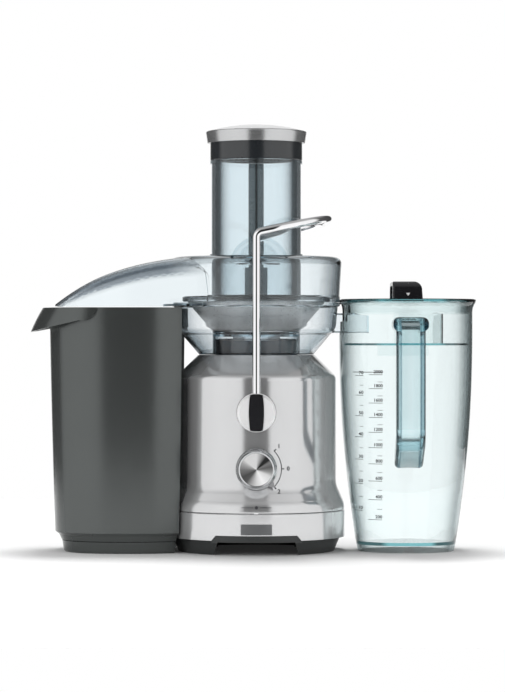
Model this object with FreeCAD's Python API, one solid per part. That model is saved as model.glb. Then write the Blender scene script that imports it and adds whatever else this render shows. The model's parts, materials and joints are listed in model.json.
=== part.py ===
import FreeCAD, Part
import math
import os

# Centrifugal juicer with its pulp bin and juice jug. Millimetres, +Z up.
# The origin is on the counter, on the vertical axis of the motor; the front faces -Y,
# the pulp bin stands at -X and the jug at +X.

# ---------------------------------------------------------------- driving dimensions
BODY_R = 84.5            # motor housing
WALL = 2.4               # housing and band wall
BAND_R = 94.0            # foot band
BAND_BOTTOM = 15.5
SEAM_Z = 43.6            # top of the band
SEAM_GAP = 0.6
SHOULDER_Z = 180.0       # where the housing starts to narrow
DECK_Z = 207.0           # flat top of the housing
DECK_R = 61.5
FOOT_R = 82.4            # foot frame at the counter
ARCH_HALF = 42.0         # half width of the front arch
ARCH_TOP = 21.0

SEAT_R = 43.3            # locating collar on the deck
BOWL_HUB_R = 46.5        # hub of the filter bowl, over the collar
BOWL_RIM_R = 88.6
BOWL_RIM_Z = 262.0
CLEAR = 0.4              # air between parts that lift off one another

COVER_R = 90.4
COVER_TOP = 310.2
COVER_WALL = 2.6
CHUTE_R = 47.4           # outside of the feed chute
CHUTE_BORE = 44.2
CHUTE_TOP = 412.0
CHUTE_BOTTOM = 238.0
HOOD_BOTTOM = 258.0

PUSHER_R = 43.4
PUSHER_WALL = 2.9
PUSHER_BOTTOM = 246.0
COLLAR_R = 48.8
CAP_R = 53.5
CAP_BOTTOM = 431.0
CAP_TOP = 450.5
CAP_EDGE = 443.5         # rim of the cap
CAP_FLAT_R = 6.0         # flat middle of the slightly domed cap

SHAFT_R = 5.0
RUNNING = 0.05           # radial clearance of shafts and pins in their bores
DISC_R = 45.6            # cutting disc
DISC_Z = 229.5
MESH_TOP_R = 73.0
MESH_TOP_Z = 263.0

PIVOT_Z = 148.0          # axis of the locking arm
ARM_Y = 98.0             # half distance between the arm's legs
ROD_R = 4.1
BEND_Z = 333.0
HOOP_REACH = 75.5        # how far the hoop stands out to +X
HOOP_RISE = 16.5
HUB_R = 20.0

DIAL_Z = 89.6
DIAL_R = 20.5
DIAL_REST_DEG = -45.0    # the pointer at rest, from +X towards +Z

BIN_X = -135.0           # centre of the bin's oval outline
BIN_TOP = 256.5
BIN_HUG_R = 96.8         # concave side that stands round the body
BIN_WALL = 2.6

JUG_X = 158.5
JUG_TOP = 262.5
JUG_WALL = 3.0
JUG_RELIEF_R = 91.3      # the jug's rim is relieved round the bowl
NOZZLE_HALF = 11.0
NOZZLE_Z = (230.0, 251.0)
NOZZLE_END = 119.0
LID_TOP = 265.6
GRIP_TOP = 284.0

X_AXIS = FreeCAD.Vector(1, 0, 0)
Y_AXIS = FreeCAD.Vector(0, 1, 0)
Z_AXIS = FreeCAD.Vector(0, 0, 1)
ORIGIN = FreeCAD.Vector(0, 0, 0)


# ---------------------------------------------------------------- helpers
def vec(x, y, z):
    return FreeCAD.Vector(x, y, z)


def cylinder(radius, z_low, z_high, x=0.0, y=0.0):
    return Part.makeCylinder(radius, z_high - z_low, vec(x, y, z_low), Z_AXIS)


def tube(outer, inner, z_low, z_high, x=0.0, y=0.0):
    return cylinder(outer, z_low, z_high, x, y).cut(cylinder(inner, z_low - 1, z_high + 1, x, y))


def y_cylinder(radius, y_low, y_high, x, z):
    return Part.makeCylinder(radius, y_high - y_low, vec(x, y_low, z), Y_AXIS)


def block(x_low, x_high, y_low, y_high, z_low, z_high):
    corner = vec(x_low, y_low, z_low)
    return Part.makeBox(x_high - x_low, y_high - y_low, z_high - z_low, corner)


def outline_edges(points, close=True):
    """Edges from point to point; a pair (a, b) is an arc to b through a."""
    edges = []
    here = points[0]
    for point in points[1:] + ([points[0]] if close else []):
        if isinstance(point, FreeCAD.Vector) and here.distanceToPoint(point) < 1e-6:
            continue
        if isinstance(point, tuple):
            edges.append(Part.Arc(here, point[0], point[1]).toShape())
            here = point[1]
        else:
            edges.append(Part.makeLine(here, point))
            here = point
    return edges


def flat_face(points):
    return Part.Face(Part.Wire(outline_edges(points)))


def in_plane(points, place):
    """Turn flat (a, b) points, or ((a, b), (c, d)) arcs, into vectors with place()."""
    result = []
    for point in points:
        if isinstance(point[0], tuple):
            result.append((place(*point[0]), place(*point[1])))
        else:
            result.append(place(*point))
    return result


def revolved(points):
    """Full turn about Z of a profile given as (radius, z)."""
    profile = flat_face(in_plane(points, lambda r, z: vec(r, 0, z)))
    return profile.revolve(ORIGIN, Z_AXIS, 360)


def revolved_about_y(points, z):
    """Full turn about a line along Y at height z, of a profile given as (radius, y)."""
    profile = flat_face(in_plane(points, lambda r, y: vec(r, y, z)))
    return profile.revolve(vec(0, 0, z), Y_AXIS, 360)


def front_prism(points, y_low, y_high):
    """Outline in the XZ plane, carried from y_low to y_high."""
    face = flat_face(in_plane(points, lambda x, z: vec(x, y_low, z)))
    return face.extrude(vec(0, y_high - y_low, 0))


def side_prism(points, x_low, x_high):
    """Outline in the YZ plane, carried from x_low to x_high."""
    face = flat_face(in_plane(points, lambda y, z: vec(x_low, y, z)))
    return face.extrude(vec(x_high - x_low, 0, 0))


def plan_prism(points, z_low, z_high):
    """Outline in the XY plane, carried from z_low to z_high."""
    face = flat_face(in_plane(points, lambda x, y: vec(x, y, z_low)))
    return face.extrude(vec(0, 0, z_high - z_low))


def superellipse(centre_x, half_x, half_y, z, power, count=28):
    """Closed smooth oval |x/a|^n + |y/b|^n = 1 at height z."""
    points = []
    for index in range(count):
        angle = 2 * math.pi * index / count
        cosine = math.cos(angle)
        sine = math.sin(angle)
        x = math.copysign(abs(cosine) ** (2 / power), cosine)
        y = math.copysign(abs(sine) ** (2 / power), sine)
        points.append(vec(centre_x + half_x * x, half_y * y, z))
    curve = Part.BSplineCurve()
    curve.interpolate(Points=points, PeriodicFlag=True)
    return Part.Wire(curve.toShape())


def oval_loft(sections, power, ruled=False):
    """Solid through ovals given as (z, centre_x, half_x, half_y)."""
    wires = []
    for z, centre_x, half_x, half_y in sections:
        wires.append(superellipse(centre_x, half_x, half_y, z, power))
    return Part.makeLoft(wires, True, ruled)


def around_z(shape, count, start=0.0):
    copies = []
    for index in range(count):
        copy = shape.copy()
        copy.rotate(ORIGIN, Z_AXIS, start + 360.0 * index / count)
        copies.append(copy)
    return copies


def fused(shapes):
    result = shapes[0]
    for shape in shapes[1:]:
        result = result.fuse(shape)
    return result.removeSplitter()


def save(name, shapes):
    solids = shapes if isinstance(shapes, list) else [shapes]
    pieces = []
    for shape in solids:
        pieces.extend(shape.Solids)
    node = pieces[0] if len(pieces) == 1 else Part.makeCompound(pieces)
    node.exportStep("parts/" + name + ".step")
    print(name, len(pieces), "valid" if node.isValid() else "INVALID", round(node.Volume / 1000, 1))


# ---------------------------------------------------------------- base
def arch_prism(half_top, half_bottom, z_top, z_bottom, depth=60.0):
    outline = [(-half_bottom, z_bottom), (half_bottom, z_bottom), (half_top, z_top), (-half_top, z_top)]
    return front_prism(outline, -BAND_R - 6, -BAND_R - 6 + depth)


FOOT_PLACES = [(50.0, 50.0), (-50.0, 50.0), (50.0, -50.0), (-50.0, -50.0)]
FOOT_BOSS_R = 9.0
PAD_R = 6.5
PAD_TOP = 3.0


def foot_frame():
    skirt = revolved([(FOOT_R - 4, 0), (FOOT_R, 0), (88.7, 15), (91.0, 15.2),
                      (91.0, 24), (87.6, 24), (84.0, 12)])
    lip = tube(BAND_R - 0.6, 89.0, 13.0, 20.8)
    lip = lip.common(arch_prism(ARCH_HALF - 0.4, ARCH_HALF + 5.2, 20.8, 13.0))
    frame = fused([skirt, lip])
    for x, y in FOOT_PLACES:
        boss = cylinder(FOOT_BOSS_R, 0, 15.0, x, y)
        rib = block(0, 20, -1.5, 1.5, 0, 12)
        rib.rotate(ORIGIN, Z_AXIS, math.degrees(math.atan2(y, x)))
        rib.translate(vec(x, y, 0))
        rib = rib.common(cylinder(81.5, -1, 13))
        frame = frame.fuse(boss).fuse(rib)
    frame = frame.cut(arch_prism(40.0, 44.0, 14.0, -1.0))
    frame = frame.cut(y_cylinder(GLAND_R + 0.3, 80, 100, 0, GLAND_Z))
    for x, y in FOOT_PLACES:
        frame = frame.cut(cylinder(PAD_R, -1, PAD_TOP, x, y))
        frame = frame.cut(cylinder(1.8, -1, 16, x, y))
    return frame.removeSplitter()


def rubber_feet():
    return [tube(PAD_R, 1.8, 0, PAD_TOP, x, y) for x, y in FOOT_PLACES]


def base_plate():
    plate = cylinder(84.5, 15.0, 17.5)
    slot = block(22, 58, -1.6, 1.6, 14, 19)
    for copy in around_z(slot, 18, 10.0):
        plate = plate.cut(copy)
    for x, y in FOOT_PLACES:
        plate = plate.cut(cylinder(1.8, 14, 19, x, y))
    return plate


def base_screws():
    screws = []
    for x, y in FOOT_PLACES:
        head = cylinder(3.2, 17.5, 19.7, x, y)
        thread = cylinder(1.75, 4.0, 17.5, x, y)
        screws.append(head.fuse(thread).removeSplitter())
    return screws


def base_band():
    profile = [(BAND_R - WALL, BAND_BOTTOM), (BAND_R, BAND_BOTTOM), (BAND_R, SEAM_Z - 0.8),
               (BAND_R - 0.8, SEAM_Z), (BAND_R - WALL, SEAM_Z)]
    band = revolved(profile)
    band = band.cut(arch_prism(ARCH_HALF, ARCH_HALF + 5, ARCH_TOP, BAND_BOTTOM - 0.5))
    return band.cut(y_cylinder(GLAND_R, 80, 110, 0, GLAND_Z))


def band_badge():
    plate = tube(BAND_R + 0.7, BAND_R, 22.0, 33.0)
    window = plan_prism([(0, 0), (-16.5, -96), (16.5, -96)], 20, 35)
    return plate.common(window)


GLAND_R = 7.0
GLAND_Z = 30.0


def cord_gland():
    sleeve = y_cylinder(GLAND_R, BAND_R - 8, BAND_R + 1, 0, GLAND_Z)
    collar = y_cylinder(10.0, BAND_R + 0.2, BAND_R + 3.2, 0, GLAND_Z)
    gland = sleeve.fuse(collar)
    return gland.cut(y_cylinder(3.6, 70, 110, 0, GLAND_Z)).removeSplitter()


# ---------------------------------------------------------------- motor housing
BOSS_FACE_Y = 87.0       # flat bosses that carry the arm's hubs
BUSH_R = 9.0
PIN_R = 5.0
SHAFT_HOLE_R = 12.0
POST_RING_R = 46.0
POST_R = 6.0
VENT_COUNT = 7           # upright air slots in the back
VENT_PITCH = 6.5
VENT_HALF = 1.25
VENT_Z = (58.0, 92.0)


def post_places():
    """Centres of the four posts that the motor hangs from."""
    places = []
    for angle in (45, 135, 225, 315):
        turn = math.radians(angle)
        places.append((POST_RING_R * math.cos(turn), POST_RING_R * math.sin(turn)))
    return places


def housing_shell():
    foot = SEAM_Z + SEAM_GAP
    outer = revolved([
        (0, foot), (BAND_R - 0.4, foot),
        ((93.2, 50.0), (90.9, 56.0)),
        (87.6, 63.8),
        ((85.3, 69.5), (BODY_R, 76.0)),
        (BODY_R, SHOULDER_Z),
        ((84.1, 183.4), (82.4, 186.2)),
        (63.0, 205.8),
        ((62.3, 206.6), (DECK_R - 0.5, DECK_Z)),
        (0, DECK_Z)])
    inner = revolved([
        (0, foot - 1), (BAND_R - 0.4 - WALL, foot - 1), (BAND_R - 0.4 - WALL, foot + 3),
        (85.2, 63.8),
        ((82.9, 69.5), (BODY_R - WALL, 76.0)),
        (BODY_R - WALL, SHOULDER_Z),
        (79.6, 185.0),
        (60.0, DECK_Z - 2.6),
        (0, DECK_Z - 2.6)])
    return outer.cut(inner)


def pivot_boss(side):
    low = min(side * 78.0, side * BOSS_FACE_Y)
    high = max(side * 78.0, side * BOSS_FACE_Y)
    return y_cylinder(HUB_R + 0.6, low, high, 0, PIVOT_Z)


def motor_housing():
    inside = cylinder(BODY_R - WALL, SHOULDER_Z - 60, SHOULDER_Z)
    shell = housing_shell()
    for side in (-1, 1):
        shell = shell.fuse(pivot_boss(side).cut(inside))
    shell = shell.cut(y_cylinder(BUSH_R, -95, 95, 0, PIVOT_Z))
    shell = shell.cut(y_cylinder(4.0, -90, -70, 0, DIAL_Z))
    shell = shell.cut(cylinder(SHAFT_HOLE_R, DECK_Z - 6, DECK_Z + 1))
    for x, y in post_places():
        shell = shell.fuse(tube(POST_R, 2.0, 178.0, DECK_Z - 1.5, x, y))
    for index in range(VENT_COUNT):
        x = (index - (VENT_COUNT - 1) / 2) * VENT_PITCH
        shell = shell.cut(block(x - VENT_HALF, x + VENT_HALF, 60, 100, *VENT_Z))
    return shell.removeSplitter()


def bowl_seat():
    collar = tube(SEAT_R, 34.0, DECK_Z, 222.0)
    notch = block(30, 46, -3, 3, 214, 223)
    for copy in around_z(notch, 3, 30.0):
        collar = collar.cut(copy)
    return collar


def shaft_seal():
    lip = tube(SHAFT_HOLE_R, SHAFT_R + RUNNING, DECK_Z - 2.6, DECK_Z)
    flange = tube(16.0, SHAFT_R + RUNNING, DECK_Z, DECK_Z + 1.4)
    return fused([lip, flange])


def pivot_bushes():
    bushes = []
    for side in (-1, 1):
        low = min(side * 74.0, side * (BOSS_FACE_Y + 0.2))
        high = max(side * 74.0, side * (BOSS_FACE_Y + 0.2))
        bush = y_cylinder(BUSH_R, low, high, 0, PIVOT_Z)
        bushes.append(bush.cut(y_cylinder(PIN_R + RUNNING, -100, 100, 0, PIVOT_Z)))
    return bushes


# ---------------------------------------------------------------- motor
STACK = (84.0, 126.0)        # height of the laminated cores
ROTOR_R = 25.0
STATOR_BORE = 25.7
STATOR_R = 45.0
COMM = (60.0, 76.0)
COMM_R = 12.5
FAN = (136.0, 148.0)
FAN_R = 33.0
LOWER_BEARING = (44.0, 51.0)
UPPER_BEARING = (157.0, 165.0)
BEARING_R = 11.0
BRACKET_R = 58.0


def motor_shaft():
    return cylinder(SHAFT_R, 40.0, 221.0)


def rotor_core():
    core = tube(ROTOR_R, SHAFT_R, STACK[0], STACK[1])
    slot = block(15.0, ROTOR_R + 1, -1.2, 1.2, STACK[0] - 1, STACK[1] + 1)
    for copy in around_z(slot, 12):
        core = core.cut(copy)
    return core


def rotor_windings():
    low = revolved([(SHAFT_R, 78.0), (19, 78.0), (22.5, STACK[0]), (SHAFT_R, STACK[0])])
    high = revolved([(SHAFT_R, STACK[1]), (22.5, STACK[1]), (19, 132.0), (SHAFT_R, 132.0)])
    return [low, high]


def commutator():
    drum = tube(COMM_R, SHAFT_R, COMM[0], COMM[1])
    gap = block(COMM_R - 1.0, COMM_R + 1, -0.3, 0.3, COMM[0] - 1, COMM[1] + 1)
    for copy in around_z(gap, 24):
        drum = drum.cut(copy)
    return drum


def cooling_fan():
    hub = tube(12.0, SHAFT_R, FAN[0], FAN[1])
    disc = tube(FAN_R, 11.0, FAN[0], FAN[0] + 2)
    blade = block(11.0, FAN_R - 1, -0.9, 0.9, FAN[0] + 1, FAN[1])
    blade.rotate(vec(11, 0, 0), Z_AXIS, 24)
    return fused([hub, disc] + around_z(blade, 11))


def stator_core():
    stack = cylinder(STATOR_R, STACK[0], STACK[1])
    stack = stack.common(block(-STATOR_R, STATOR_R, -36, 36, STACK[0], STACK[1]))
    window = block(-21, 21, -33, 33, STACK[0] - 1, STACK[1] + 1)
    window = window.cut(block(-12, 12, -40, 40, STACK[0] - 1, STACK[1] + 1))
    stack = stack.cut(window)
    stack = stack.cut(cylinder(STATOR_BORE, STACK[0] - 1, STACK[1] + 1))
    for x in (-38.0, 38.0):
        stack = stack.cut(cylinder(2.2, STACK[0] - 1, STACK[1] + 1, x, 0))
    return stack.removeSplitter()


def stator_coils():
    coils = []
    for side in (-1, 1):
        low = min(side * 26.6, side * 32.5)
        high = max(side * 26.6, side * 32.5)
        for z_low, z_high in ((STACK[0] - 10, STACK[0]), (STACK[1], STACK[1] + 8)):
            coils.append(block(-20, 20, low, high, z_low, z_high))
    return coils


def bearing(low, high):
    return tube(BEARING_R, SHAFT_R + RUNNING, low, high)


def motor_bracket(low, high, bearing_span):
    cup = tube(BEARING_R + 3, BEARING_R, bearing_span[0], bearing_span[1])
    arm = block(12.0, BRACKET_R, -8, 8, low, high)
    pad = cylinder(9.0, low, high, POST_RING_R, 0)
    arms = around_z(arm.fuse(pad), 4, 45.0)
    bridge = block(-STATOR_R, STATOR_R, -7, 7, low, high)
    bridge = bridge.cut(cylinder(12.5, low - 1, high + 1))
    bracket = fused([cup, bridge] + arms)
    for hole in around_z(cylinder(2.0, low - 1, high + 1, POST_RING_R, 0), 4, 45.0):
        bracket = bracket.cut(hole)
    for x in (-38.0, 38.0):
        bracket = bracket.cut(cylinder(2.2, low - 1, high + 1, x, 0))
    return bracket.removeSplitter()


def upper_bracket():
    return motor_bracket(158.0, 164.0, UPPER_BEARING)


def lower_bracket():
    return motor_bracket(45.0, 50.0, LOWER_BEARING)


def bracket_screws():
    """Two long screws that clamp the brackets on the stator."""
    screws = []
    for x in (-38.0, 38.0):
        shank = cylinder(2.1, 45.0, 164.0, x, 0)
        head = cylinder(4.0, 41.5, 45.0, x, 0)
        screws.append(shank.fuse(head).removeSplitter())
    return screws


def bracket_spacers():
    """Sleeves on the long screws, between the stator and the brackets."""
    spacers = []
    for x in (-38.0, 38.0):
        for low, high in ((50.0, STACK[0]), (STACK[1], FAN[0] - 1.5)):
            spacers.append(tube(4.2, 2.1, low, high, x, 0))
    return spacers


def rubber_mounts():
    return [tube(8.0, 2.0, 164.0, 178.0, x, y) for x, y in post_places()]


def motor_screws():
    screws = []
    for x, y in post_places():
        shank = cylinder(1.95, 158.0, 196.0, x, y)
        head = cylinder(4.0, 154.8, 158.0, x, y)
        screws.append(shank.fuse(head).removeSplitter())
    return screws


def brush_holders():
    holders = []
    for side in (-1, 1):
        low = min(side * 14.5, side * 33.0)
        high = max(side * 14.5, side * 33.0)
        box = block(low, high, -6, 6, 62, 74)
        foot = block(min(side * 24.0, side * 33.0), max(side * 24.0, side * 33.0), -6, 6, 50, 62)
        holder = box.fuse(foot)
        holders.append(holder.cut(block(low - 1, high + 1, -3.6, 3.6, 64.4, 71.6)).removeSplitter())
    return holders


def carbon_brushes():
    brushes = []
    for side in (-1, 1):
        low = min(side * (COMM_R + 0.3), side * 31.0)
        high = max(side * (COMM_R + 0.3), side * 31.0)
        brush = block(low, high, -3.5, 3.5, 64.5, 71.5)
        brushes.append(brush.cut(cylinder(COMM_R + 0.3, 60, 76)))
    return brushes


# ---------------------------------------------------------------- controls
SPINDLE_R = 3.0


def rotary_switch():
    body = block(-15, 15, -77, -62, DIAL_Z - 15, DIAL_Z + 15)
    nose = y_cylinder(7.0, -80, -77, 0, DIAL_Z)
    tabs = [block(x - 1.5, x + 1.5, -62, -55, DIAL_Z - 10, DIAL_Z - 4) for x in (-9, 0, 9)]
    switch = fused([body, nose] + tabs)
    return switch.cut(y_cylinder(SPINDLE_R + RUNNING, -90, -64, 0, DIAL_Z))


def control_board():
    board = block(-40, 40, 60.0, 61.6, 56.0, 92.0)
    parts = [block(-34, -20, 52.0, 60.0, 62.0, 84.0), block(-12, 6, 49.0, 60.0, 60.0, 74.0)]
    parts.append(y_cylinder(6.0, 46.0, 60.0, 22.0, 70.0))
    parts.append(block(28, 37, 54.0, 60.0, 76.0, 88.0))
    return fused([board] + parts)


def interlock_switch():
    body = block(-10, 10, -73.0, -60.0, PIVOT_Z - 24.0, PIVOT_Z - 13.0)
    button = cylinder(1.5, PIVOT_Z - 13.0, PIVOT_Z - 11.8, 0, -68.0)
    return body.fuse(button).removeSplitter()


def speed_dial():
    skirt = [(SPINDLE_R, -87.4), (DIAL_R + 0.8, -87.4), (DIAL_R + 0.8, -89.0), (DIAL_R, -90.0),
             (DIAL_R - 0.8, -101.0), (DIAL_R - 2.2, -103.0), (DIAL_R - 3.6, -102.4),
             (DIAL_R - 3.6, -101.2), (SPINDLE_R, -101.2)]
    knob = revolved_about_y(skirt, DIAL_Z)
    groove = y_cylinder(0.55, -101.0, -90.5, DIAL_R + 0.1, DIAL_Z)
    for index in range(48):
        copy = groove.copy()
        copy.rotate(vec(0, 0, DIAL_Z), Y_AXIS, index * 7.5)
        knob = knob.cut(copy)
    return knob


def dial_face():
    profile = [(0, -101.2), (DIAL_R - 3.8, -101.2), (DIAL_R - 3.8, -101.9), (0, -103.2)]
    return revolved_about_y(profile, DIAL_Z)


def dial_pointer():
    pointer = plan_prism([(DIAL_R + 0.85, -3.6), (DIAL_R + 6.4, 0), (DIAL_R + 0.85, 3.6)], 0, 1.4)
    pointer.rotate(ORIGIN, X_AXIS, 90)
    pointer.translate(vec(0, -87.5, DIAL_Z))
    pointer.rotate(vec(0, 0, DIAL_Z), Y_AXIS, -DIAL_REST_DEG)
    return pointer


def dial_spindle():
    return y_cylinder(SPINDLE_R, -101.2, -65.0, 0, DIAL_Z)


# ---------------------------------------------------------------- locking arm
HUB_BACK = BOSS_FACE_Y + 0.6
HUB_FRONT = ARM_Y + 6.0


def mirrored(shape):
    return shape.mirror(ORIGIN, Y_AXIS)


def hoop_direction():
    slope = math.atan2(HOOP_RISE, HOOP_REACH)
    return vec(math.cos(slope), 0, math.sin(slope))


def hoop_point(along, y):
    return vec(0, y, BEND_Z) + hoop_direction() * along


def leg_path(y):
    """Leg, bend and the first straight of the hoop, on one side."""
    bend = 6.5
    turn = math.pi / 2 - math.atan2(HOOP_RISE, HOOP_REACH)
    back = bend * math.tan(turn / 2)
    corner = vec(0, y, BEND_Z)
    start = corner - Z_AXIS * back
    end = corner + hoop_direction() * back
    centre = start + X_AXIS * bend
    middle = centre + (corner - centre).normalize() * bend
    return start, middle, end


def arm_rod():
    length = math.hypot(HOOP_REACH, HOOP_RISE)
    corner = 66.0
    slant = corner * math.sqrt(0.5)
    start, middle, end = leg_path(-ARM_Y)
    back_start, back_middle, back_end = leg_path(ARM_Y)
    leg_foot = PIVOT_Z + HUB_R - 3.0
    route = [
        vec(0, -ARM_Y, leg_foot), start,
        (middle, end),
        hoop_point(length - corner, -ARM_Y),
        (hoop_point(length - corner + slant, -ARM_Y + corner - slant),
         hoop_point(length, -ARM_Y + corner)),
        hoop_point(length, ARM_Y - corner),
        (hoop_point(length - corner + slant, ARM_Y - corner + slant),
         hoop_point(length - corner, ARM_Y)),
        back_end,
        (back_middle, back_start),
        vec(0, ARM_Y, leg_foot)]
    path = Part.Wire(outline_edges(route, close=False))
    section = Part.Wire(Part.makeCircle(ROD_R, route[0], Z_AXIS))
    return path.makePipeShell([section], True, True)


def arm_hub():
    """Disc on the front pivot, with a socket for the leg and a recess for the inlay."""
    disc = revolved_about_y([(0, -HUB_BACK), (HUB_R - 1.0, -HUB_BACK), (HUB_R, -HUB_BACK - 1.0),
                             (HUB_R, -HUB_FRONT + 2.5), (HUB_R - 2.5, -HUB_FRONT),
                             (0, -HUB_FRONT)], PIVOT_Z)
    socket = cylinder(ROD_R, PIVOT_Z + HUB_R - 3.0, PIVOT_Z + HUB_R + 3, 0, -ARM_Y)
    disc = disc.cut(socket)
    disc = disc.cut(inlay_solid(0.15))
    return disc.cut(y_cylinder(PIN_R, -HUB_BACK - 5.0, -80, 0, PIVOT_Z))


def inlay_solid(grow=0.0):
    """Barrel-shaped inlay: bulging sides, cut to the hub's disc."""
    half = 7.7 + grow
    end_half = 6.3 + grow
    height = HUB_R - 0.9 + grow
    outline = [(-end_half, PIVOT_Z - height), (end_half, PIVOT_Z - height),
               ((half, PIVOT_Z), (end_half, PIVOT_Z + height)),
               (-end_half, PIVOT_Z + height),
               ((-half, PIVOT_Z), (-end_half, PIVOT_Z - height))]
    bar = front_prism(outline, -HUB_FRONT - 0.8 - grow, -HUB_FRONT + 1.4)
    return bar.common(y_cylinder(HUB_R - 0.7 + grow, -HUB_FRONT - 3, -HUB_FRONT + 3, 0, PIVOT_Z))


def pivot_pin():
    pin = y_cylinder(PIN_R, -HUB_BACK - 5.0, -73.0, 0, PIVOT_Z)
    clip = y_cylinder(7.5, -73.8, -71.8, 0, PIVOT_Z)
    cam = y_cylinder(11.0, -71.8, -66.0, 0, PIVOT_Z)
    cam = cam.cut(block(-2.5, 2.5, -75, -60, PIVOT_Z - 12, PIVOT_Z - 8.5))
    return fused([pin, clip, cam])


def on_both_sides(shape):
    return [shape, mirrored(shape)]


# ---------------------------------------------------------------- filter bowl and basket
def nozzle_passage(grow=0.0):
    half = NOZZLE_HALF - 2.2 + grow
    return block(60, NOZZLE_END - 2.4, -half, half, NOZZLE_Z[0] + 2.2, NOZZLE_Z[1] - 2.2)


def bowl_outside(shift=0.0):
    """Outer line of the bowl's wall, drawn in by shift."""
    return [(61.0 - shift, DECK_Z + CLEAR + shift), (78.6 - shift, 228.4 + shift * 0.4),
            ((82.8 - shift, 233.2), (84.8 - shift, 239.0)), (86.4 - shift, 257.0)]


def filter_bowl():
    floor = DECK_Z + CLEAR
    outer = revolved([(0, floor)] + bowl_outside() + [(BOWL_RIM_R, 258.6), (BOWL_RIM_R, BOWL_RIM_Z),
                                                      (0, BOWL_RIM_Z)])
    inner = revolved([(0, floor + 2.5)] + bowl_outside(2.5) + [(83.9, BOWL_RIM_Z + 1),
                                                               (0, BOWL_RIM_Z + 1)])
    shell = outer.cut(inner)
    shell = shell.cut(cylinder(BOWL_HUB_R - 2.5, floor - 1, floor + 5))
    hub = tube(BOWL_HUB_R, BOWL_HUB_R - 2.5, floor, 228.0)
    flange = tube(BOWL_HUB_R, 27.0, 225.6, 228.0)
    bowl = fused([shell, hub, flange])
    return bowl.cut(nozzle_passage()).removeSplitter()


def juice_nozzle():
    body = block(78, NOZZLE_END, -NOZZLE_HALF, NOZZLE_HALF, NOZZLE_Z[0], NOZZLE_Z[1])
    long_edges = [e for e in body.Edges if abs(e.tangentAt(e.FirstParameter).x) > 0.9]
    body = body.makeFillet(3.5, long_edges)
    bowl_solid = revolved([(0, 200)] + [(61.0, 207)] + bowl_outside()[1:] + [(86.9, 262), (0, 262)])
    nozzle = body.cut(bowl_solid)
    nozzle = nozzle.cut(nozzle_passage())
    half = NOZZLE_HALF - 2.2
    nozzle = nozzle.cut(block(97, NOZZLE_END - 2.4, -half, half, NOZZLE_Z[0] - 1, NOZZLE_Z[0] + 4))
    slope = [(90, NOZZLE_Z[1] + 1), (NOZZLE_END + 1, NOZZLE_Z[1] + 1), (NOZZLE_END + 1, NOZZLE_Z[1] - 3)]
    return nozzle.cut(front_prism(slope, -20, 20)).removeSplitter()


def drive_coupling():
    disc = tube(20.0, SHAFT_R, 210.0, 215.0)
    cone = revolved([(SHAFT_R, 215.0), (15.0, 215.0), (12.0, 221.0), (SHAFT_R, 221.0)])
    tooth = block(13.5, 19.6, -1.8, 1.8, 214.5, 220.5)
    return fused([disc, cone] + around_z(tooth, 10))


def basket_hub():
    hub = cylinder(25.0, 215.6, DISC_Z)
    hub = hub.cut(cylinder(20.4, 215, 221.6))
    dog = block(16.0, 21.0, -1.8, 1.8, 216.0, 222.0)
    return fused([hub] + around_z(dog, 10, 18.0))


def cutting_disc():
    disc = cylinder(DISC_R, DISC_Z, DISC_Z + 1.6)
    blade = Part.makeWedge(0, 0, 0, 0, 0, 2.6, 1.7, 1.2, 1.2, 1.2)
    blade.translate(vec(0, -0.6, DISC_Z + 1.4))
    teeth = []
    for ring, (radius, count) in enumerate(((12.0, 8), (19.0, 12), (26.0, 18), (33.0, 24), (39.5, 30))):
        tooth = blade.copy()
        tooth.translate(vec(radius - 1.3, 0, 0))
        teeth.extend(around_z(tooth, count, ring * 7.0))
    return disc.multiFuse(teeth).removeSplitter()


def filter_mesh():
    """Steep sieve wall with a narrow foot that lies on the disc."""
    top = DISC_Z + 1.6
    sheet = 0.9
    bend = (67.5, 256.5)
    outside = [(DISC_R - 3.0, top), (DISC_R + 0.2 + sheet, top), (bend[0] + sheet, bend[1]),
               (MESH_TOP_R + sheet, MESH_TOP_Z)]
    inside = [(MESH_TOP_R, MESH_TOP_Z), bend, (DISC_R + 0.5, top + sheet), (DISC_R - 3.0, top + sheet)]
    return revolved(outside + inside)


def basket_rim():
    return revolved([(71.6, MESH_TOP_Z), (77.0, MESH_TOP_Z), (78.4, 264.5), (78.4, 267.5),
                     (77.4, 268.5), (72.6, 268.5)])


def basket_skirt():
    """Plastic ring under the mesh that ties it to the disc."""
    return revolved([(40.0, DISC_Z - 1.4), (46.2, DISC_Z - 1.4), (47.4, DISC_Z + 1.6),
                     (DISC_R + 0.1, DISC_Z + 1.6), (DISC_R + 0.1, DISC_Z), (40.0, DISC_Z)])


# ---------------------------------------------------------------- cover with chute and hood
# Sections of the hood: x, height of the top, half width, radius of the top corners.
HOOD_STATIONS = [(-20.0, 310.0, 74.0, 20.0), (-66.0, 309.4, 71.0, 20.0), (-115.0, 303.0, 65.0, 18.0),
                 (-150.0, 293.4, 60.0, 16.0), (-178.0, 281.2, 53.0, 12.0), (-197.0, 269.6, 45.0, 7.5),
                 (-211.0, 259.8, 31.0, 1.7)]


def hood_sections(inset):
    """Rounded sections of the pulp hood, from the cover's axis out to its far end."""
    wires = []
    for x, top, half, corner in HOOD_STATIONS:
        top_z = top - inset
        half_y = half - inset
        radius = max(corner - inset, 1.0)
        low = HOOD_BOTTOM if inset == 0 else HOOD_BOTTOM - 4
        slant = radius * (1 - math.sqrt(0.5))
        points = [
            vec(x, -half_y, low), vec(x, -half_y, top_z - radius),
            (vec(x, -half_y + slant, top_z - slant), vec(x, -half_y + radius, top_z)),
            vec(x, half_y - radius, top_z),
            (vec(x, half_y - slant, top_z - slant), vec(x, half_y, top_z - radius)),
            vec(x, half_y, low)]
        wires.append(Part.Wire(outline_edges(points)))
    return wires


def hood(inset):
    return Part.makeLoft(hood_sections(inset), True, False)


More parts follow.
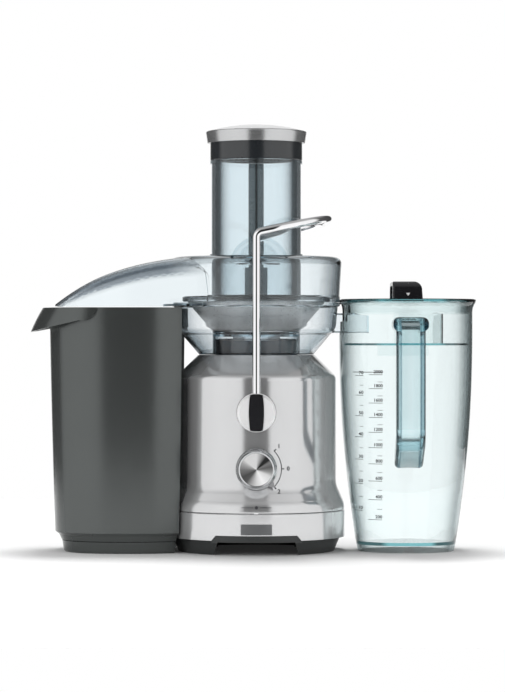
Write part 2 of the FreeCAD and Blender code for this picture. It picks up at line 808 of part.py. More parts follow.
def cover_outside():
    return revolved([(0, BOWL_RIM_Z + 0.2), (89.0, BOWL_RIM_Z + 0.2), (89.0, 268.0), (88.4, 269.2),
                     (COVER_R, COVER_TOP - 8), ((COVER_R - 1.6, COVER_TOP - 2.2), (COVER_R - 7.0, COVER_TOP)),
                     (0, COVER_TOP)])


def cover_inside():
    return revolved([(0, BOWL_RIM_Z - 1), (86.0, BOWL_RIM_Z - 1), (85.8, 269.2),
                     (COVER_R - 2.8, COVER_TOP - 8.4),
                     ((COVER_R - 4.2, COVER_TOP - 4.4), (COVER_R - 8.6, COVER_TOP - COVER_WALL)),
                     (0, COVER_TOP - COVER_WALL)])


def hood_floor():
    """Ledge that closes the hood between the bowl and the bin."""
    slab = block(-104, 0, -80, 80, HOOD_BOTTOM, HOOD_BOTTOM + 2.4)
    slab = slab.common(cylinder(99.0, 250, 270))
    return slab.cut(cylinder(BOWL_RIM_R + 0.6, 250, 270)).common(hood(0))


EAR_R = 31.0
EAR_X = 3.0
EAR_CENTRE_Z = 298.0


def locking_ear():
    """Half-round ear on the front of the cover, under the arm."""
    ear = y_cylinder(EAR_R, -91.0, -83.0, EAR_X, EAR_CENTRE_Z)
    hollow = y_cylinder(EAR_R - 2.6, -88.6, -78.0, EAR_X, EAR_CENTRE_Z)
    above = block(EAR_X - 40, EAR_X + 40, -95, -70, COVER_TOP - 4, 340)
    return ear.cut(hollow).common(above)


def juicer_cover():
    outer = cover_outside().fuse(hood(0))
    inner = cover_inside().fuse(hood(COVER_WALL))
    inner = inner.cut(hood_floor())
    shell = outer.cut(inner)
    shell = shell.cut(cylinder(BOWL_RIM_R + 0.4, 250, BOWL_RIM_Z + 0.2))
    cover = fused([shell, locking_ear(), mirrored(locking_ear())])
    return cover.cut(cylinder(CHUTE_R, CHUTE_BOTTOM, CHUTE_TOP))


def feed_chute():
    """Straight tube through the middle of the cover, welded in at its flange."""
    wall = tube(CHUTE_R, CHUTE_BORE, CHUTE_BOTTOM, CHUTE_TOP)
    bead = tube(CHUTE_R + 1.4, CHUTE_BORE, CHUTE_TOP - 3, CHUTE_TOP)
    flange = tube(CHUTE_R + 1.8, CHUTE_BORE, COVER_TOP, COVER_TOP + 3)
    return fused([wall, bead, flange])


# ---------------------------------------------------------------- food pusher
def pusher_body():
    inner = PUSHER_R - PUSHER_WALL
    wall = tube(PUSHER_R, inner, PUSHER_BOTTOM, CAP_BOTTOM)
    floor = cylinder(PUSHER_R, PUSHER_BOTTOM, PUSHER_BOTTOM + 3)
    rib = block(-1.2, 1.2, -inner - 1, -inner + 2.2, PUSHER_BOTTOM, CAP_BOTTOM)
    return fused([wall, floor, rib, mirrored(rib)])


def pusher_collar():
    low = CHUTE_TOP + 0.3
    return revolved([(PUSHER_R, low), (COLLAR_R - 0.6, low), (COLLAR_R, low + 0.7),
                     (COLLAR_R, CAP_BOTTOM), (PUSHER_R, CAP_BOTTOM)])


def pusher_cap():
    half_way = CAP_EDGE + 0.75 * (CAP_TOP - CAP_EDGE)
    return revolved([(0, CAP_BOTTOM), (51.7, CAP_BOTTOM), (CAP_R - 0.2, CAP_EDGE - 2.0),
                     ((CAP_R - 0.3, CAP_EDGE - 0.7), (CAP_R - 1.6, CAP_EDGE)),
                     ((CAP_R * 0.5, half_way), (CAP_FLAT_R, CAP_TOP)), (0, CAP_TOP)])


# ---------------------------------------------------------------- pulp bin
BIN_POWER = 2.6
BIN_SECTIONS = [(21.5, BIN_X, 77.6, 65.2), (100.0, BIN_X, 80.2, 67.4), (200.0, BIN_X, 82.6, 69.4),
                (BIN_TOP, BIN_X, 83.6, 70.2)]
BIN_FOOT = [(0.0, BIN_X, 67.4, 56.4), (1.2, BIN_X, 68.6, 57.6), (12.0, BIN_X, 70.4, 59.2)]
BIN_STEP = [(12.0, BIN_X, 69.4, 58.2), (12.8, BIN_X, 71.0, 59.8), (18.4, BIN_X, 73.6, 62.0),
            (21.5, BIN_X, 77.6, 65.2)]


def bin_outside():
    foot = oval_loft(BIN_FOOT, BIN_POWER, ruled=True)
    step = oval_loft(BIN_STEP, BIN_POWER, ruled=True)
    wall = oval_loft(BIN_SECTIONS, BIN_POWER)
    return foot.fuse(step).fuse(wall)


def beak_outline(z, outset):
    """Oval of the grip lip, which leaves the bin's wall towards the far end."""
    return superellipse(-168.0, 58.0 + outset, 71.4 + 0.12 * outset, z, 2.2)


def bin_beak():
    """Curved grip lip round the far end of the rim, open underneath."""
    outer = Part.makeLoft([beak_outline(BIN_TOP, 0.0), beak_outline(244.0, 7.0), beak_outline(228.0, 14.0)],
                          True, False)
    inner = Part.makeLoft([superellipse(-168.0, 55.0, 67.0, BIN_TOP - 3, 2.2),
                           superellipse(-168.0, 61.5, 67.0, 244.0, 2.2),
                           superellipse(-168.0, 69.6, 67.0, 226.0, 2.2)], True, False)
    lip = outer.cut(inner)
    lip = lip.common(block(-260, -166, -90, 90, 220, BIN_TOP))
    below = [(-262, 215), (-262, 229.2), (-239.5, 230.8), (-214.0, 236.4), (-184.0, 243.0),
             ((-170.8, 246.6), (-165.6, BIN_TOP + 0.5)), (-150, BIN_TOP + 0.5), (-150, 215)]
    return lip.cut(front_prism(below, -100, 100))


def pulp_bin():
    outside = bin_outside()
    low = (22.0, BIN_X, 74.6, 62.2)
    floor = [(BIN_WALL + 0.4, BIN_X, 65.8, 54.8), (16.0, BIN_X, 68.8, 57.8), low]
    inside = oval_loft(floor, BIN_POWER, ruled=True)
    middle = [(z, x, a - BIN_WALL, b - BIN_WALL) for z, x, a, b in BIN_SECTIONS[1:3]]
    wall = oval_loft([low] + middle + [(BIN_TOP + 1, BIN_X, 81.0, 67.6)], BIN_POWER)
    hug = cylinder(BIN_HUG_R, -1, BIN_TOP + 2)
    hug_inside = cylinder(BIN_HUG_R + BIN_WALL, -1, BIN_TOP + 2)
    hollow = inside.fuse(wall).cut(hug_inside)
    shell = outside.fuse(bin_beak().cut(outside)).cut(hug)
    return shell.cut(hollow)


# ---------------------------------------------------------------- juice jug
JUG_POWER = 2.15
JUG_DEPTH = 0.965        # depth of the jug over its width
JUG_WIDTHS = [(0.0, 51.0), (20.0, 54.8), (60.0, 60.2), (110.0, 65.6), (160.0, 69.0), (205.0, 70.4),
              (250.0, 70.6)]
HANDLE_HALF = 15.0
NOTCH_BOTTOM = 228.0


def jug_sections(first, last):
    return [(z, JUG_X, half, half * JUG_DEPTH) for z, half in JUG_WIDTHS[first:last]]


def jug_outside():
    top = [(258.0, JUG_X + 0.4, 71.4, 69.0), (JUG_TOP, JUG_X + 0.9, 73.2, 70.4)]
    body = oval_loft(jug_sections(0, 7), JUG_POWER)
    return body.fuse(oval_loft([jug_sections(6, 7)[0]] + top, JUG_POWER))


def jug_hollow():
    floor = (11.0, JUG_X, 51.0, 51.0 * JUG_DEPTH - 0.4)
    low = [(z, x, a - JUG_WALL, b - JUG_WALL) for z, x, a, b in jug_sections(1, 7)]
    top = [(258.0, JUG_X + 0.4, 68.6, 66.2), (JUG_TOP + 1, JUG_X + 0.9, 70.4, 67.6)]
    return oval_loft([floor] + low, JUG_POWER).fuse(oval_loft([low[-1]] + top, JUG_POWER))


def jug_notch():
    narrow = block(70, 110, -13, 13, NOTCH_BOTTOM, 243)
    wide = block(70, 110, -26, 26, 242, 260.5)
    relief = cylinder(JUG_RELIEF_R, 232, JUG_TOP + 5)
    return narrow.fuse(wide).fuse(relief)


def juice_jug():
    shell = jug_outside().cut(jug_hollow())
    under = oval_loft([(-1.0, JUG_X, 46.6, 45.0), (7.6, JUG_X, 48.2, 46.6)], JUG_POWER, ruled=True)
    shell = shell.cut(under)
    drain = y_cylinder(6.8, -80, 80, JUG_X, -1.0)
    shell = shell.cut(drain)
    return shell.cut(jug_notch())


def handle_profile():
    outer = [(-62, 246), (-90, 246), ((-99.6, 243), (-103.6, 233.5)), (-105.4, 190), (-103.8, 128),
             ((-101.5, 115.5), (-92.5, 107.0)), (-56, 87)]
    inner = [(-56, 104), (-83.0, 121.0), ((-88.5, 126.0), (-90.4, 133.0)), (-91.6, 190),
             (-90.2, 224), ((-88.2, 229.2), (-83.0, 231.0)), (-62, 231)]
    return outer + inner


COLLAR_HALF = 18.2
COLLAR_BOTTOM = 231.5
COLLAR_CORNER = 6.0


def handle_collar():
    """Wider rounded head of the handle, where it joins the jug."""
    wide = side_prism(handle_profile(), JUG_X - COLLAR_HALF, JUG_X + COLLAR_HALF)
    plate = block(JUG_X - COLLAR_HALF, JUG_X + COLLAR_HALF, -120, -50, COLLAR_BOTTOM, 246)
    corners = [e for e in plate.Edges if abs(e.tangentAt(e.FirstParameter).y) > 0.9]
    return wide.common(plate.makeFillet(COLLAR_CORNER, corners))


def jug_handle():
    bar = side_prism(handle_profile(), JUG_X - HANDLE_HALF, JUG_X + HANDLE_HALF)
    edges = []
    for edge in bar.Edges:
        xs = [v.Point.x for v in edge.Vertexes]
        if max(xs) - min(xs) < 0.01:
            ys = [v.Point.y for v in edge.Vertexes]
            middle = edge.valueAt((edge.FirstParameter + edge.LastParameter) / 2)
            outward = middle.y < -92.2 or middle.z > 245.5 or (middle.z < 107.5 and min(ys) < -90)
            if outward:
                edges.append(edge)
    bar = bar.makeFillet(5.0, edges)
    channel = [(-50, 100), (-84.0, 117.5), ((-93.0, 124.0), (-96.4, 134.0)), (-98.2, 190), (-96.6, 228),
               ((-93.5, 236.2), (-85.0, 239.0)), (-50, 239)]
    groove = side_prism(channel, JUG_X - 9.5, JUG_X + 9.5)
    return bar.fuse(handle_collar()).cut(groove).cut(jug_outside())


# ---------------------------------------------------------------- jug lid
def lid_relief():
    return cylinder(JUG_RELIEF_R + 0.8, 200, 300)


def jug_lid():
    plate = oval_loft([(JUG_TOP + 0.1, JUG_X + 0.9, 73.0, 70.2), (LID_TOP - 0.8, JUG_X + 0.9, 73.6, 70.8),
                       (LID_TOP, JUG_X + 0.9, 72.8, 70.0)], JUG_POWER, ruled=True)
    rim = [(250.0, JUG_X, 67.0, 64.6), (JUG_TOP + 0.1, JUG_X + 0.9, 68.9, 66.1)]
    rim = oval_loft(rim, JUG_POWER, ruled=True)
    core = [(249.0, JUG_X, 64.8, 62.4), (JUG_TOP - 0.4, JUG_X + 0.9, 66.6, 63.8)]
    core = oval_loft(core, JUG_POWER, ruled=True)
    lid = plate.fuse(rim.cut(core))
    notch = block(70, 130, -27, 27, 240, 260.5)
    return lid.cut(notch).cut(lid_relief()).removeSplitter()


def grip_front():
    """Front outline of the grip: one top corner is well rounded, the other only eased."""
    left = JUG_X - 17
    right = JUG_X + 15.5
    outline = [(left, LID_TOP - 1), (left, GRIP_TOP + 1), (right - 9.0, GRIP_TOP + 1),
               (right - 9.0, GRIP_TOP), ((right - 3.4, GRIP_TOP - 2.6), (right - 0.8, GRIP_TOP - 9.0)),
               (right, LID_TOP - 1)]
    return front_prism(outline, -60, 40)


def lid_grip():
    outer = [(-46.5, LID_TOP), (-45.0, 277.0), ((-42.6, 281.8), (-37.5, GRIP_TOP)), (12.0, GRIP_TOP),
             ((18.5, 281.6), (21.5, 276.0)), (23.5, LID_TOP)]
    inner = [(17.5, LID_TOP), (15.5, 275.0), ((13.0, 278.4), (9.0, 279.4)), (-34.0, 279.4),
             ((-38.0, 278.2), (-39.6, 275.0)), (-40.5, LID_TOP)]
    grip = side_prism(outer + inner, JUG_X - 16, JUG_X + 16)
    edges = []
    for edge in grip.Edges:
        xs = [v.Point.x for v in edge.Vertexes]
        middle = edge.valueAt((edge.FirstParameter + edge.LastParameter) / 2)
        if max(xs) - min(xs) < 0.01 and (middle.z > 280.5 or middle.y < -44.5 or middle.y > 19.5):
            edges.append(edge)
    grip = grip.makeFillet(1.8, edges)
    return grip.common(grip_front())


def froth_separator():
    shelf = oval_loft([(217.0, JUG_X, 66.2, 63.6), (219.2, JUG_X, 66.2, 63.6)], JUG_POWER, ruled=True)
    outer = oval_loft([(219.2, JUG_X, 66.2, 63.6), (249.8, JUG_X, 66.6, 64.0)], JUG_POWER, ruled=True)
    divider = block(JUG_X + 33, JUG_X + 35.2, -70, 70, 219.2, 262.0).common(outer)
    posts = []
    for side in (-1, 1):
        post = block(JUG_X - 10, JUG_X + 33, side * 50 - 1.1, side * 50 + 1.1, 219.2, 262.0)
        posts.append(post.common(outer))
    tab = block(JUG_X - 30, JUG_X + 24, -1.5, 1.5, 206.0, 217.0)
    separator = fused([shelf, divider, tab] + posts)
    separator = separator.cut(block(70, 124, -14, 14, 210, 263))
    slot = block(-1.5, 1.5, -16, 16, 216, 220)
    for index in range(4):
        copy = slot.copy()
        copy.translate(vec(JUG_X + 42 + index * 5, 0, 0))
        separator = separator.cut(copy)
    return separator.removeSplitter()


NODES = {
    "foot_frame": foot_frame,
    "rubber_feet": rubber_feet,
    "base_plate": base_plate,
    "base_screws": base_screws,
    "base_band": base_band,
    "band_badge": band_badge,
    "cord_gland": cord_gland,
    "motor_housing": motor_housing,
    "bowl_seat": bowl_seat,
    "shaft_seal": shaft_seal,
    "pivot_bushes": pivot_bushes,
    "motor_shaft": motor_shaft,
    "rotor_core": rotor_core,
    "rotor_windings": rotor_windings,
    "commutator": commutator,
    "cooling_fan": cooling_fan,
    "stator_core": stator_core,
    "stator_coils": stator_coils,
    "lower_bearing": lambda: bearing(*LOWER_BEARING),
    "upper_bearing": lambda: bearing(*UPPER_BEARING),
    "lower_bracket": lower_bracket,
    "upper_bracket": upper_bracket,
    "bracket_screws": bracket_screws,
    "bracket_spacers": bracket_spacers,
    "rubber_mounts": rubber_mounts,
    "motor_screws": motor_screws,
    "brush_holders": brush_holders,
    "carbon_brushes": carbon_brushes,
    "rotary_switch": rotary_switch,
    "control_board": control_board,
    "interlock_switch": interlock_switch,
    "speed_dial": speed_dial,
    "dial_face": dial_face,
    "dial_pointer": dial_pointer,
    "dial_spindle": dial_spindle,
    "arm_rod": arm_rod,
    "arm_hubs": lambda: on_both_sides(arm_hub()),
    "hub_inlays": lambda: on_both_sides(inlay_solid()),
    "pivot_pins": lambda: on_both_sides(pivot_pin()),
    "filter_bowl": filter_bowl,
    "juice_nozzle": juice_nozzle,
    "drive_coupling": drive_coupling,
    "basket_hub": basket_hub,
    "cutting_disc": cutting_disc,
    "filter_mesh": filter_mesh,
    "basket_skirt": basket_skirt,
    "basket_rim": basket_rim,
    "juicer_cover": juicer_cover,
    "feed_chute": feed_chute,
    "pusher_body": pusher_body,
    "pusher_collar": pusher_collar,
    "pusher_cap": pusher_cap,
    "pulp_bin": pulp_bin,
    "juice_jug": juice_jug,
    "jug_handle": jug_handle,
    "jug_lid": jug_lid,
    "lid_grip": lid_grip,
    "froth_separator": froth_separator,
}

os.makedirs("parts", exist_ok=True)
for node_name, make_node in NODES.items():
    save(node_name, make_node())
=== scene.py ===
import bpy
import bmesh
import json
import math
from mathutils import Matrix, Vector


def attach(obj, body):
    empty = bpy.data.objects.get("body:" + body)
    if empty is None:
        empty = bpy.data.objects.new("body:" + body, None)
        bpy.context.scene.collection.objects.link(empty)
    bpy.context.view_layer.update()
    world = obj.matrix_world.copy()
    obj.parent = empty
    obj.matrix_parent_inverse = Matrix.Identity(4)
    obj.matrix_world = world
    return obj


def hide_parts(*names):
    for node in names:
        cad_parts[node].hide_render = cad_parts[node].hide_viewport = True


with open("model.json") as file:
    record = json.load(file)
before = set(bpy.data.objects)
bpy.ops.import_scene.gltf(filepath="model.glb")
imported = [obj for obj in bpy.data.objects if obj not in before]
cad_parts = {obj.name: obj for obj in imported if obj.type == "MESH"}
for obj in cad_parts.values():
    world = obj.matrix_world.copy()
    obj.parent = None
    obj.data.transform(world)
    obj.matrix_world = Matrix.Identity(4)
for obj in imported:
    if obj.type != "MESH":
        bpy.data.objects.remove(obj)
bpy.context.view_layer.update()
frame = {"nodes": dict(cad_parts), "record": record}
NODES = frame["nodes"]
MM = 0.001

# ---------------------------------------------------------------- sizes, in millimetres
PRINT_LIFT = 0.3         # how far a print stands off its surface
TEXT_SWELL = 0.13        # how far the numerals' outlines are fattened
DIAL_HEIGHT = 89.6
DIAL_ARC_R = 26.0
DIAL_ARC_DEG = (-44, 45)
DIAL_ARC_THICK = 0.75
DIAL_TICK_R = (25.7, 28.9)
DIAL_TICK_THICK = 1.1
DIAL_TEXT_R = 33.0
DIAL_TEXT_SIZE = 6.0
DIAL_MARKS = ((45, "1"), (0, "0"), (-45, "2"))
EMBLEM_HEIGHT = 50.2
EMBLEM_REACH = (3.4, 15.5)       # each half line, from the middle
EMBLEM_THICK = 0.5
EMBLEM_DOT_R = 1.7
JUG_X = 158.5            # middle of the jug
HANDLE_HALF = 15.0
JUG_FLOOR = 11.0
JUG_WALL = 3.0
JUG_DEPTH = 0.965        # depth of the jug over its width
JUG_HALF_WIDTHS = [(0.0, 51.0), (20.0, 54.8), (60.0, 60.2), (110.0, 65.6), (160.0, 69.0), (205.0, 70.4)]
OVAL_AREA = 3.22         # area of the jug's oval over the product of its half widths
SCALE_TEXT_SIZE = 4.7
SCALE_TEXT_RISE = 2.9    # numerals stand over their line
FULL_LINE = (101.0, 131.5)
FULL_LINE_RISE = 2.6
ML_LINE = (117.0, 131.0)
ML_HALF_LINE = (126.0, 131.0)
OUNCE_LINE = (103.5, 111.5)
OUNCE_HALF_LINE = (108.0, 111.5)
ML_TEXT_X = 131.2        # right edges of the two columns of numerals
OUNCE_TEXT_X = 111.6
TEN_OUNCES = 284.1       # millilitres
FIVE_OUNCES = 142.0
CUBIC_MM_PER_ML = 1000.0
LINE_THICK = 0.55
HALF_LINE_THICK = 0.45
FULL_LINE_THICK = 0.7
LID_MARK_FOOT = (158.5, 268.6)
LID_MARK_SIZE = (2.2, 3.2)       # half width and height
MESH_FOOT = (45.8, 231.1)        # radius and height of the basket's sheet
MESH_KNEE = (67.6, 256.5)
MESH_RIM = (73.1, 263.0)
MESH_SIDES = 160
SHEET_THICK = 0.3


# ---------------------------------------------------------------- node helpers
NOISE_SPAN = (0.3, 0.7)          # most of a noise texture's values lie in here
BUMP_DEPTH = 0.0002              # metres


def new_material(name):
    mat = bpy.data.materials.new(name)
    mat.use_nodes = True
    tree = mat.node_tree
    tree.nodes.clear()
    out = tree.nodes.new("ShaderNodeOutputMaterial")
    shader = tree.nodes.new("ShaderNodeBsdfPrincipled")
    tree.links.new(shader.outputs["BSDF"], out.inputs["Surface"])
    return mat, tree, shader, out


def noise(tree, scale, stretch=(1, 1, 1), detail=4.0):
    mapping = tree.nodes.new("ShaderNodeMapping")
    mapping.inputs["Scale"].default_value = stretch
    texture = tree.nodes.new("ShaderNodeTexNoise")
    texture.inputs["Scale"].default_value = scale
    texture.inputs["Detail"].default_value = detail
    tree.links.new(object_place(tree), mapping.inputs["Vector"])
    tree.links.new(mapping.outputs["Vector"], texture.inputs["Vector"])
    return texture.outputs["Fac"]


def ranged(tree, value, low, high):
    """A noise value brought to run from low to high."""
    node = tree.nodes.new("ShaderNodeMapRange")
    node.inputs["From Min"].default_value = NOISE_SPAN[0]
    node.inputs["From Max"].default_value = NOISE_SPAN[1]
    node.inputs["To Min"].default_value = low
    node.inputs["To Max"].default_value = high
    tree.links.new(value, node.inputs["Value"])
    return node.outputs["Result"]


def vary_colour(tree, shader, value, dark, light):
    mix = tree.nodes.new("ShaderNodeMix")
    mix.data_type = "RGBA"
    mix.inputs["A"].default_value = (*dark, 1)
    mix.inputs["B"].default_value = (*light, 1)
    tree.links.new(value, mix.inputs["Factor"])
    tree.links.new(mix.outputs["Result"], shader.inputs["Base Color"])


def add_bump(tree, shader, value, strength):
    bump = tree.nodes.new("ShaderNodeBump")
    bump.inputs["Strength"].default_value = strength
    bump.inputs["Distance"].default_value = BUMP_DEPTH
    tree.links.new(value, bump.inputs["Height"])
    tree.links.new(bump.outputs["Normal"], shader.inputs["Normal"])


def object_place(tree):
    """Point on the surface in its body's own frame, in metres."""
    return tree.nodes.new("ShaderNodeTexCoord").outputs["Object"]


def split_xyz(tree, vector):
    node = tree.nodes.new("ShaderNodeSeparateXYZ")
    tree.links.new(vector, node.inputs["Vector"])
    return node.outputs


def math_node(tree, operation, first, second=None):
    node = tree.nodes.new("ShaderNodeMath")
    node.operation = operation
    tree.links.new(first, node.inputs[0])
    if isinstance(second, float):
        node.inputs[1].default_value = second
    elif second is not None:
        tree.links.new(second, node.inputs[1])
    return node.outputs[0]


def colour_ramp(tree, value, steps):
    """Colour ramp through (position, (r, g, b)) steps."""
    ramp = tree.nodes.new("ShaderNodeValToRGB")
    elements = ramp.color_ramp.elements
    elements[0].position = steps[0][0]
    elements[-1].position = steps[-1][0]
    for position, _ in steps[1:-1]:
        elements.new(position)
    for element, (_, colour) in zip(elements, steps):
        element.color = (*colour, 1)
    tree.links.new(value, ramp.inputs["Fac"])
    return ramp.outputs["Color"]


def grey_ramp(tree, value, steps):
    return colour_ramp(tree, value, [(position, (level, level, level)) for position, level in steps])


def scaled(colour, factor):
    return tuple(min(1.0, channel * factor) for channel in colour)


# ---------------------------------------------------------------- materials
# Shares of a material's own value over which its noise takes it.
METAL_SHADE = (0.985, 1.01)
PLASTIC_SHADE = (0.93, 1.07)
PLASTIC_GLOSS = (0.88, 1.12)
CLEAR_GLOSS = (0.7, 1.3)


def metal(name, colour, roughness, grain=(1, 1, 1), grain_scale=400.0, bump=0.05, spread=0.06,
          metallic=1.0):
    """Satin or brushed metal; grain stretches the noise along the brushing."""
    mat, tree, shader, _ = new_material(name)
    shader.inputs["Metallic"].default_value = metallic
    fine = noise(tree, grain_scale, grain, detail=6.0)
    broad = noise(tree, scale=9.0)
    vary_colour(tree, shader, broad, *(scaled(colour, share) for share in METAL_SHADE))
    gloss = ranged(tree, fine, roughness - spread, roughness + spread)
    tree.links.new(gloss, shader.inputs["Roughness"])
    add_bump(tree, shader, fine, bump)
    return mat


def plastic(name, colour, roughness, texture_scale=900.0, bump=0.08, coat=0.0, metallic=0.0):
    """Moulded plastic with fine grain and a slightly uneven sheen."""
    mat, tree, shader, _ = new_material(name)
    shader.inputs["Metallic"].default_value = metallic
    fine = noise(tree, texture_scale, detail=3.0)
    broad = noise(tree, scale=14.0)
    vary_colour(tree, shader, broad, *(scaled(colour, share) for share in PLASTIC_SHADE))
    gloss = ranged(tree, fine, *(roughness * share for share in PLASTIC_GLOSS))
    tree.links.new(gloss, shader.inputs["Roughness"])
    add_bump(tree, shader, fine, bump)
    if coat > 0:
        shader.inputs["Coat Weight"].default_value = coat
        shader.inputs["Coat Roughness"].default_value = 0.08
    return mat


# How much of its clear tint the plastic keeps, from face-on at 0 to edge-on at 1; the loss towards
# edge-on is painted shade.
EDGE_STEPS = [(0.0, 1.0), (0.22, 0.98), (0.36, 0.86), (0.52, 0.55), (0.75, 0.22), (1.0, 0.05)]


def clear_plastic(name, tint, edge, absorb, density, roughness=0.02):
    """Clear moulded plastic: a smooth refracting wall that turns dark where it is looked at edge-on, by
    painted shade in its tint.
    """
    mat, tree, shader, out = new_material(name)
    shader.inputs["Transmission Weight"].default_value = 1.0
    shader.inputs["IOR"].default_value = 1.46
    facing = tree.nodes.new("ShaderNodeLayerWeight")
    steps = []
    for position, clear in EDGE_STEPS:
        steps.append((position, tuple(low + (high - low) * clear for low, high in zip(edge, tint))))
    # painted shade: the tint darkens towards edge-on
    tree.links.new(colour_ramp(tree, facing.outputs["Facing"], steps), shader.inputs["Base Color"])
    gloss = ranged(tree, noise(tree, scale=60.0), *(roughness * share for share in CLEAR_GLOSS))
    tree.links.new(gloss, shader.inputs["Roughness"])
    volume = tree.nodes.new("ShaderNodeVolumeAbsorption")
    volume.inputs["Color"].default_value = (*absorb, 1)
    volume.inputs["Density"].default_value = density
    tree.links.new(volume.outputs["Volume"], out.inputs["Volume"])
    return mat


HOOD_SIDE = (-0.095, -0.050)     # x in metres over which the painted shade on the hood's edge fades out
# Strength of the painted shade by how far the surface faces up, from 0 upright to 1 level.
PAINTED_SHADE_NORMALS = [(0.0, 0.0), (0.08, 0.0), (0.30, 0.35), (0.52, 0.95), (0.80, 0.75), (0.97, 0.0),
                 (1.0, 0.0)]


def smoke_hood_edges(mat, shade_colour):
    """Darken the cover's plastic where the hood rounds over from its sides to its top: painted shade
    standing in for light bent in the thick plastic.
    """
    tree = mat.node_tree
    shader = tree.nodes["Principled BSDF"]
    clear = shader.inputs["Base Color"].links[0].from_socket
    place = tree.nodes.new("ShaderNodeTexCoord")
    along = split_xyz(tree, place.outputs["Object"])
    upward = split_xyz(tree, place.outputs["Normal"])
    side = tree.nodes.new("ShaderNodeMapRange")
    side.inputs["From Min"].default_value = HOOD_SIDE[1]
    side.inputs["From Max"].default_value = HOOD_SIDE[0]
    tree.links.new(along["X"], side.inputs["Value"])
    # painted shade where the hood rounds over
    ramp = grey_ramp(tree, math_node(tree, "ABSOLUTE", upward["Z"]), PAINTED_SHADE_NORMALS)
    amount = math_node(tree, "MULTIPLY", ramp, side.outputs["Result"])
    mix = tree.nodes.new("ShaderNodeMix")
    mix.data_type = "RGBA"
    mix.inputs["B"].default_value = (*shade_colour, 1)
    tree.links.new(amount, mix.inputs["Factor"])
    tree.links.new(clear, mix.inputs["A"])
    tree.links.new(mix.outputs["Result"], shader.inputs["Base Color"])
    return mat


# Painted shade on the jug's handle from its middle at 0 to its side at 1: dark bands down both sides.
HANDLE_PAINTED_SHADE = [(0.0, (0.97, 0.99, 1.0)), (0.60, (0.90, 0.96, 0.97)), (0.70, (0.16, 0.27, 0.33)),
               (0.78, (0.75, 0.86, 0.88)), (0.90, (0.55, 0.68, 0.72)), (0.96, (0.05, 0.10, 0.12)),
               (1.0, (0.03, 0.06, 0.08))]


def dark_rims(mat):
    """Tint both sides of the jug's handle darker than its web: painted shade standing in for light bent
    in its thick plastic.
    """
    tree = mat.node_tree
    shader = tree.nodes["Principled BSDF"]
    clear = shader.inputs["Base Color"].links[0].from_socket
    across = math_node(tree, "SUBTRACT", split_xyz(tree, object_place(tree))["X"], JUG_X * MM)
    from_middle = math_node(tree, "ABSOLUTE", across)
    share = math_node(tree, "DIVIDE", from_middle, HANDLE_HALF * MM)
    # painted shade: dark bands down both sides of the handle
    painted_shade = colour_ramp(tree, share, HANDLE_PAINTED_SHADE)
    mix = tree.nodes.new("ShaderNodeMix")
    mix.data_type = "RGBA"
    mix.blend_type = "MULTIPLY"
    mix.inputs["Factor"].default_value = 1.0
    tree.links.new(clear, mix.inputs["A"])
    tree.links.new(painted_shade, mix.inputs["B"])
    tree.links.new(mix.outputs["Result"], shader.inputs["Base Color"])
    return mat


def perforated(name, colour, pitch, open_size):
    """Steel sheet with fine round holes; open_size sets how much of it is hole."""
    mat, tree, shader, out = new_material(name)
    shader.inputs["Metallic"].default_value = 0.35
    shader.inputs["Roughness"].default_value = 0.35
    shader.inputs["Base Color"].default_value = (*colour, 1)
    cells = tree.nodes.new("ShaderNodeTexVoronoi")
    cells.inputs["Scale"].default_value = pitch
    tree.links.new(object_place(tree), cells.inputs["Vector"])
    hole = math_node(tree, "LESS_THAN", cells.outputs["Distance"], open_size)
    clear = tree.nodes.new("ShaderNodeBsdfTransparent")
    mix = tree.nodes.new("ShaderNodeMixShader")
    tree.links.new(hole, mix.inputs["Fac"])
    tree.links.new(shader.outputs["BSDF"], mix.inputs[1])
    tree.links.new(clear.outputs["BSDF"], mix.inputs[2])
    tree.links.new(mix.outputs["Shader"], out.inputs["Surface"])
    return mat


def vector_node(tree, operation, first, second):
    node = tree.nodes.new("ShaderNodeVectorMath")
    node.operation = operation
    tree.links.new(first, node.inputs[0])
    node.inputs[1].default_value = second
    return node.outputs["Vector"]


# Painted reflection on the lathe-turned dial: its grey by angle, as a share of a turn anticlockwise
# from the left.
DIAL_PAINTED_SHEEN = [(0.0, 0.25), (0.08, 0.08), (0.14, 0.10), (0.20, 0.40), (0.26, 0.70), (0.33, 0.95),
            (0.43, 0.85), (0.475, 0.40), (0.53, 0.16), (0.58, 0.30), (0.606, 0.03), (0.645, 0.03),
            (0.70, 0.50), (0.75, 0.95), (0.89, 1.0), (0.93, 0.60), (1.0, 0.25)]


